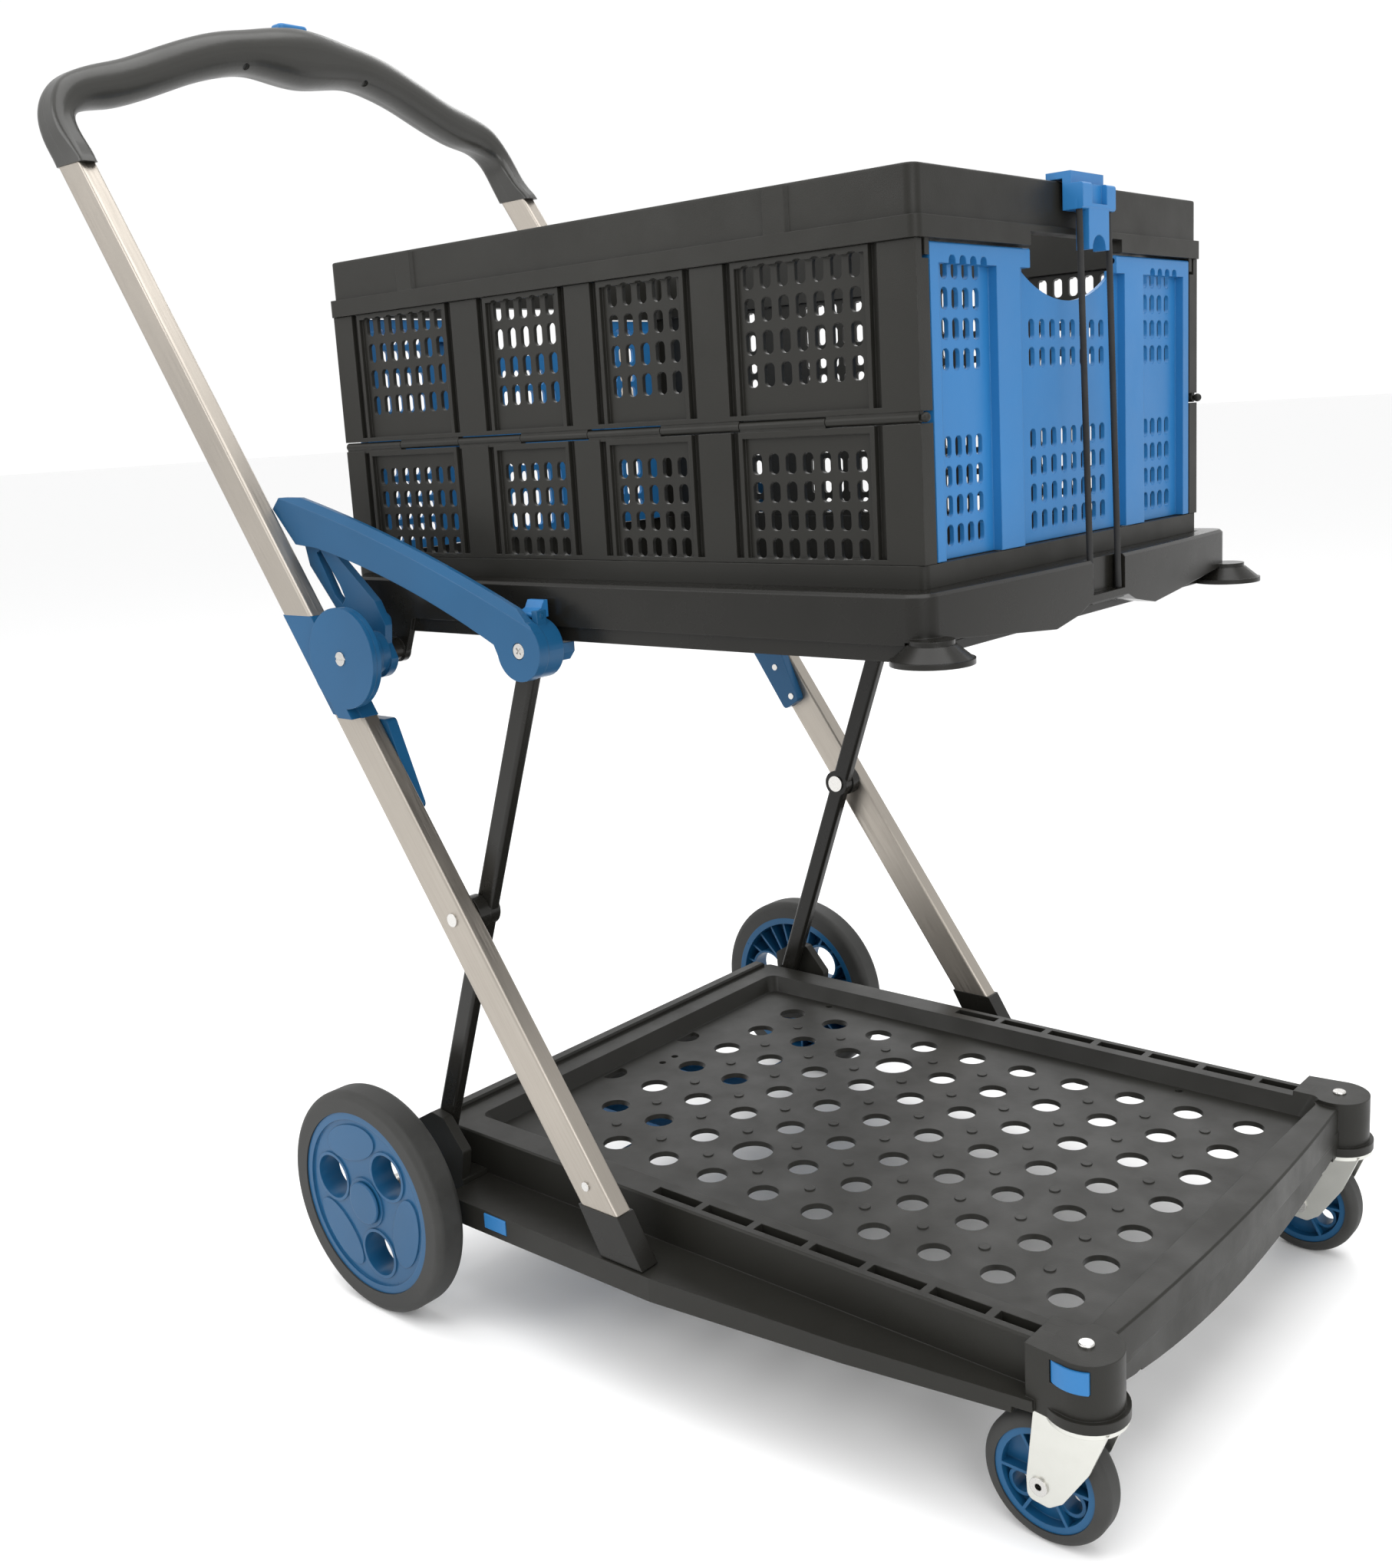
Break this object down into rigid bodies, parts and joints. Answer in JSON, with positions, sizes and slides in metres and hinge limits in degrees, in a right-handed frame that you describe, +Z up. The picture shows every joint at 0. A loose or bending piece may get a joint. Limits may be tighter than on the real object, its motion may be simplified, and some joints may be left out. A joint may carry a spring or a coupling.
{
  "type": "folding rolling basket trolley",
  "caption": "Folding rolling trolley with a slotted crate on an upper deck, a perforated lower tray, large rear wheels, swivel casters, slanted tube legs and a wide grip.",
  "frame": {"origin": "on the floor under the middle of the trolley", "axes": "+Z up, +X forwards to the casters, +Y to the left"},
  "size_m": [0.9457, 0.5796, 1.0455],
  "materials": {
    "tray_black": "moulded, fine grain",
    "gloss_black": "polished moulding",
    "charcoal_grip": "satin",
    "blue_plastic": "moulded",
    "bright_blue": "moulded, fine grain",
    "anodised_metal": "satin anodised",
    "steel": "bright plated",
    "zinc": "zinc plated sheet",
    "grey_tyre": "smooth",
    "elastic": "woven elastic"
  },
  "bodies": {
    "tray": {"lower_tray": "tray_black", "rear_bracket_right": "tray_black", "rear_bracket_left": "tray_black", "rod_pivot_pins": "steel", "rear_axles": "steel", "wheel_caps": "blue_plastic", "swivel_rivets": "steel"},
    "rods": {"rod_right": "gloss_black", "rod_left": "gloss_black", "rod_heads": "blue_plastic", "head_screws": "steel"},
    "legs": {"leg_tube_right": "anodised_metal", "leg_tube_left": "anodised_metal", "foot_caps": "gloss_black", "leg_screws": "steel", "middle_pins": "steel", "middle_bushes": "gloss_black", "lower_sleeve_right": "blue_plastic", "lower_sleeve_left": "blue_plastic", "hinge_blocks": "blue_plastic", "hinge_pins": "steel"},
    "arms": {"top_arm_right": "blue_plastic", "top_arm_left": "blue_plastic"},
    "handle": {"upper_sleeve_right": "blue_plastic", "upper_sleeve_left": "blue_plastic", "handle_tube_right": "anodised_metal", "handle_tube_left": "anodised_metal", "grip_front_shell": "charcoal_grip", "grip_rear_shell": "charcoal_grip"},
    "handle_release": {"handle_button": "bright_blue"},
    "platform": {"upper_deck": "gloss_black", "crate_base": "tray_black", "crate_rim": "tray_black", "crate_side_lower_right": "tray_black", "crate_side_lower_left": "tray_black", "crate_side_upper_right": "tray_black", "crate_side_upper_left": "tray_black", "crate_hinge_pins": "tray_black", "elastic_strands": "elastic"},
    "front_panel": {"end_panel_front": "bright_blue"},
    "rear_panel": {"end_panel_rear": "bright_blue"},
    "latch": {"latch_hook": "bright_blue"},
    "wheel_right": {"wheel_hub_right": "blue_plastic", "wheel_tyre_right": "grey_tyre"},
    "caster_right": {"caster_fork_right": "zinc", "caster_axle_right": "steel"},
    "caster_wheel_right": {"caster_hub_right": "blue_plastic", "caster_tyre_right": "grey_tyre"},
    "rear_release_right": {"release_tongue_right": "bright_blue"},
    "front_release_right": {"front_button_right": "bright_blue"},
    "clip_right": {"rail_clip_right": "bright_blue"},
    "wheel_left": {"wheel_hub_left": "blue_plastic", "wheel_tyre_left": "grey_tyre"},
    "caster_left": {"caster_fork_left": "zinc", "caster_axle_left": "steel"},
    "caster_wheel_left": {"caster_hub_left": "blue_plastic", "caster_tyre_left": "grey_tyre"},
    "rear_release_left": {"release_tongue_left": "bright_blue"},
    "front_release_left": {"front_button_left": "bright_blue"},
    "clip_left": {"rail_clip_left": "bright_blue"}
  },
  "joints": [
    {"name": "fold", "type": "hinge", "parent": "tray", "child": "rods", "pos_m": [-0.096, 0, 0.118], "axis": [0, 1, 0], "range_deg": [0, 65]},
    {"name": "leg_cross", "type": "hinge", "parent": "rods", "child": "legs", "pos_m": [-0.0234, 0, 0.3233], "axis": [0, 1, 0], "range_deg": [-116, 0]},
    {"name": "deck_level", "type": "hinge", "parent": "legs", "child": "platform", "pos_m": [-0.1136, 0, 0.5103], "axis": [0, 1, 0], "range_deg": [0, 51]},
    {"name": "handle_fold", "type": "hinge", "parent": "legs", "child": "handle", "pos_m": [-0.1136, 0, 0.5103], "axis": [0, 1, 0], "range_deg": [0, 168.5]},
    {"name": "arm_swing", "type": "hinge", "parent": "rods", "child": "arms", "pos_m": [0.051, 0, 0.5206], "axis": [0, 1, 0], "range_deg": [-81.5, 0]},
    {"name": "handle_button_press", "type": "slide", "parent": "handle", "child": "handle_release", "axis": [0, 0, -1], "range_m": [0, 0.003], "stiffness_N_per_m": 600, "springref_m": -0.001},
    {"name": "front_panel_swing", "type": "hinge", "parent": "platform", "child": "front_panel", "pos_m": [0.3386, 0, 0.754], "axis": [0, 1, 0], "range_deg": [0, 85]},
    {"name": "rear_panel_swing", "type": "hinge", "parent": "platform", "child": "rear_panel", "pos_m": [-0.1799, 0, 0.754], "axis": [0, -1, 0], "range_deg": [0, 85]},
    {"name": "latch_lift", "type": "slide", "parent": "platform", "child": "latch", "axis": [0, 0, 1], "range_m": [0, 0.025], "stiffness_N_per_m": 400, "springref_m": -0.02, "deforming": ["elastic_strands"]},
    {"name": "wheel_spin_right", "type": "hinge", "parent": "tray", "child": "wheel_right", "pos_m": [-0.1177, -0.276, 0.089], "axis": [0, 1, 0], "continuous": true},
    {"name": "caster_swivel_right", "type": "hinge", "parent": "tray", "child": "caster_right", "pos_m": [0.4476, -0.2055, 0.0876], "axis": [0, 0, 1], "continuous": true},
    {"name": "caster_spin_right", "type": "hinge", "parent": "caster_right", "child": "caster_wheel_right", "pos_m": [0.4239, -0.2055, 0.0415], "axis": [0, 1, 0], "continuous": true},
    {"name": "rear_button_right", "type": "slide", "parent": "tray", "child": "rear_release_right", "axis": [0, 1, 0], "range_m": [0, 0.004], "stiffness_N_per_m": 500},
    {"name": "front_button_right", "type": "slide", "parent": "tray", "child": "front_release_right", "axis": [0, 1, 0], "range_m": [0, 0.0025], "stiffness_N_per_m": 500},
    {"name": "clip_open_right", "type": "hinge", "parent": "rods", "child": "clip_right", "pos_m": [0.049, -0.2243, 0.5436], "axis": [1, 0, 0], "range_deg": [0, 35], "stiffness_Nm_per_rad": 0.05, "springref_deg": -17.19},
    {"name": "wheel_spin_left", "type": "hinge", "parent": "tray", "child": "wheel_left", "pos_m": [-0.1177, 0.276, 0.089], "axis": [0, 1, 0], "continuous": true},
    {"name": "caster_swivel_left", "type": "hinge", "parent": "tray", "child": "caster_left", "pos_m": [0.4476, 0.2055, 0.0876], "axis": [0, 0, 1], "continuous": true},
    {"name": "caster_spin_left", "type": "hinge", "parent": "caster_left", "child": "caster_wheel_left", "pos_m": [0.4239, 0.2055, 0.0415], "axis": [0, 1, 0], "continuous": true},
    {"name": "rear_button_left", "type": "slide", "parent": "tray", "child": "rear_release_left", "axis": [0, -1, 0], "range_m": [0, 0.004], "stiffness_N_per_m": 500},
    {"name": "front_button_left", "type": "slide", "parent": "tray", "child": "front_release_left", "axis": [0, -1, 0], "range_m": [0, 0.0025], "stiffness_N_per_m": 500},
    {"name": "clip_open_left", "type": "hinge", "parent": "rods", "child": "clip_left", "pos_m": [0.049, 0.2243, 0.5436], "axis": [-1, 0, 0], "range_deg": [0, 35], "stiffness_Nm_per_rad": 0.05, "springref_deg": -17.19}
  ],
  "couplings": [
    {"joint": "leg_cross", "follows": "fold", "ratio": -1.78},
    {"joint": "deck_level", "follows": "fold", "ratio": 0.78},
    {"joint": "handle_fold", "follows": "fold", "ratio": 2.585},
    {"joint": "arm_swing", "follows": "fold", "ratio": -1.25}
  ]
}
